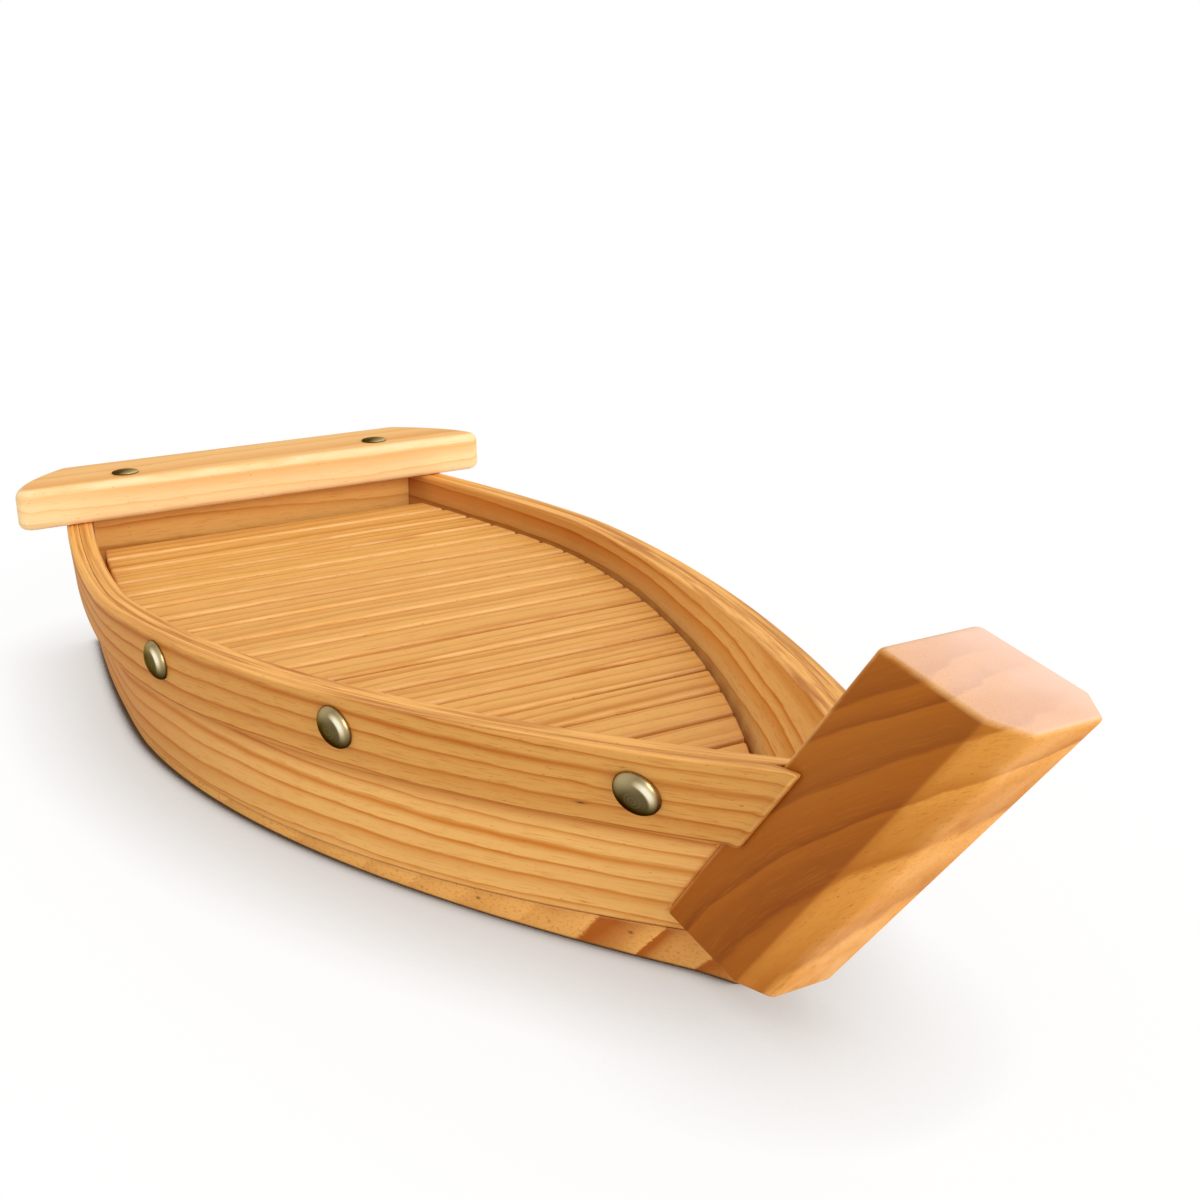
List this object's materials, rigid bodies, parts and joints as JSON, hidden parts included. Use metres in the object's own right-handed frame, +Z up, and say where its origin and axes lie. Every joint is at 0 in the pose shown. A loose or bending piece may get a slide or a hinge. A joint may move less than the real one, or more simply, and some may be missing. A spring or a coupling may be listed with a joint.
{
  "type": "wooden sushi boat",
  "caption": "Boat-shaped wooden serving platter with bent flared sides, a raked stem post, a stern crossbar, domed brass tacks and a slatted deck that lifts out.",
  "frame": {"origin": "middle of the overall length and breadth, on the table under the base board", "axes": "+X to the bow, +Y to port, +Z up"},
  "size_m": [0.3774, 0.1514, 0.0822],
  "materials": {
    "pine_base": "satin",
    "pine_plank": "satin",
    "pine_band": "satin",
    "pine_stem": "satin",
    "pine_transom": "satin",
    "pine_crossbar": "satin",
    "pine_slat": "satin",
    "pine_batten": "satin",
    "antique_brass": "satin"
  },
  "bodies": {
    "hull": {"base_board": "pine_base", "stem_post": "pine_stem", "transom_board": "pine_transom", "stern_crossbar": "pine_crossbar", "side_plank_starboard": "pine_plank", "sheer_band_starboard": "pine_band", "side_plank_port": "pine_plank", "sheer_band_port": "pine_band", "tack_starboard_1": "antique_brass", "tack_starboard_2": "antique_brass", "tack_starboard_3": "antique_brass", "tack_port_1": "antique_brass", "tack_port_2": "antique_brass", "tack_port_3": "antique_brass", "crossbar_tack_starboard": "antique_brass", "crossbar_tack_port": "antique_brass"},
    "deck_rack": {"deck_slat_01": "pine_slat", "deck_slat_02": "pine_slat", "deck_slat_03": "pine_slat", "deck_slat_04": "pine_slat", "deck_slat_05": "pine_slat", "deck_slat_06": "pine_slat", "deck_slat_07": "pine_slat", "deck_slat_08": "pine_slat", "deck_slat_09": "pine_slat", "deck_slat_10": "pine_slat", "deck_slat_11": "pine_slat", "deck_slat_12": "pine_slat", "deck_slat_13": "pine_slat", "deck_slat_14": "pine_slat", "deck_slat_15": "pine_slat", "deck_slat_16": "pine_slat", "deck_slat_17": "pine_slat", "deck_slat_18": "pine_slat", "deck_batten_centre": "pine_batten", "deck_batten_starboard": "pine_batten", "deck_batten_port": "pine_batten"}
  },
  "joints": [
    {"name": "deck_lift", "type": "slide", "parent": "hull", "child": "deck_rack", "axis": [0, 0, 1], "range_m": [0, 0.06]}
  ]
}
